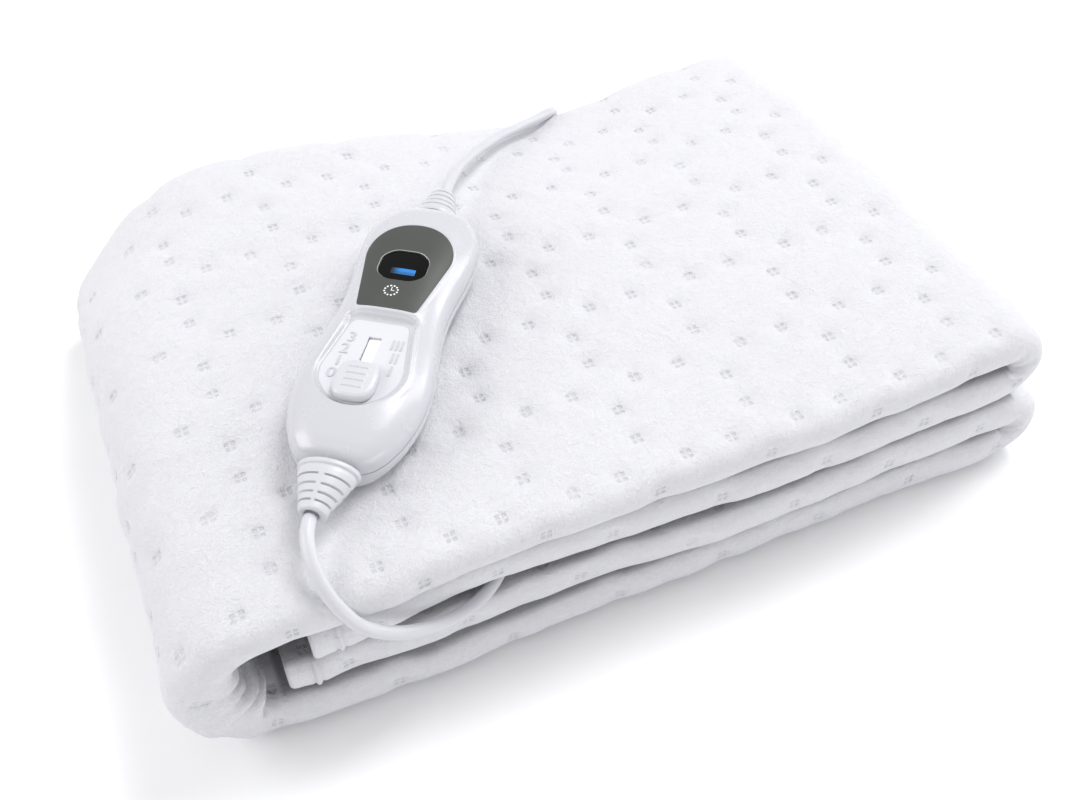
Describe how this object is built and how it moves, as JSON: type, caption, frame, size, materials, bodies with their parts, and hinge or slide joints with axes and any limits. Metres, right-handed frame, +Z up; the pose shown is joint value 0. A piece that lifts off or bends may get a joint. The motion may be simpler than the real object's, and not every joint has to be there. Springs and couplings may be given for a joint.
{
  "type": "folded electric underblanket",
  "caption": "Folded white felt heating underblanket with a slide controller lying on top, its lead into the cloth and a coiled mains lead with a plug",
  "frame": {"origin": "middle of the folded stack's flat underside, on the surface it lies on", "axes": "+X along the stack, away from the big rounded fold; +Y from the folded front edges to the back edge where the mains lead goes over; +Z up"},
  "size_m": [0.375, 0.3472, 0.1031],
  "materials": {
    "felt": "matt white needle felt",
    "shell_white": "glossy white moulding",
    "panel_grey": "satin dark grey panel",
    "lens_black": "glossy black lens",
    "bar_blue": "lit blue bar behind the lens",
    "track_white": "satin white strip",
    "cord_white": "smooth white PVC",
    "tie_white": "matt white strap",
    "pin_metal": "plain nickelled pins"
  },
  "bodies": {
    "underblanket": {"blanket": "felt", "lower_shell": "shell_white", "upper_shell": "shell_white", "display_panel": "panel_grey", "display_lens": "lens_black", "display_bar": "bar_blue", "slider_track": "track_white", "lower_relief": "shell_white", "upper_relief": "shell_white", "blanket_lead": "cord_white", "mains_lead": "cord_white", "mains_lead_coil": "cord_white", "coil_tie": "tie_white", "plug_lead": "cord_white", "plug_relief": "cord_white", "plug_body": "cord_white", "plug_pin_left": "pin_metal", "plug_pin_right": "pin_metal"},
    "slider": {"slider_knob": "shell_white"}
  },
  "joints": [
    {"name": "heat_slider", "type": "slide", "parent": "underblanket", "child": "slider", "axis": [0.5793, 0.8151, 0], "range_m": [0, 0.021]}
  ]
}
